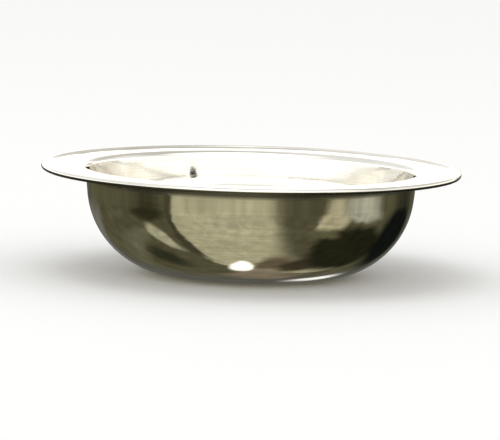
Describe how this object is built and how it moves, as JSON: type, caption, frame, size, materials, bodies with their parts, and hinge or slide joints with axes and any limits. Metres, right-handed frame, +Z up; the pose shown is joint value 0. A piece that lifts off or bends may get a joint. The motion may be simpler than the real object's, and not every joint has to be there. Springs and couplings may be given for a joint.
{
  "type": "round basin",
  "caption": "Round stainless steel basin with a dished bowl, a wide flat rim and a wired curled edge, carried by a ring under its rim or stood on its flat base.",
  "frame": {"origin": "centre of the flat base, on the surface that the basin stands on", "axes": "+Z up along the basin's axis, from the base to the rim; X and Y are equivalent"},
  "size_m": [0.3, 0.3, 0.0775],
  "materials": {
    "basin_steel": "polished stainless sheet with fine turning rings, light handling scratches and slightly wavy reflections",
    "wire_steel": "drawn stainless wire, unpolished, hidden in the curled edge"
  },
  "bodies": {
    "root": {"basin_shell": "basin_steel", "rim_wire": "wire_steel"}
  },
  "joints": []
}
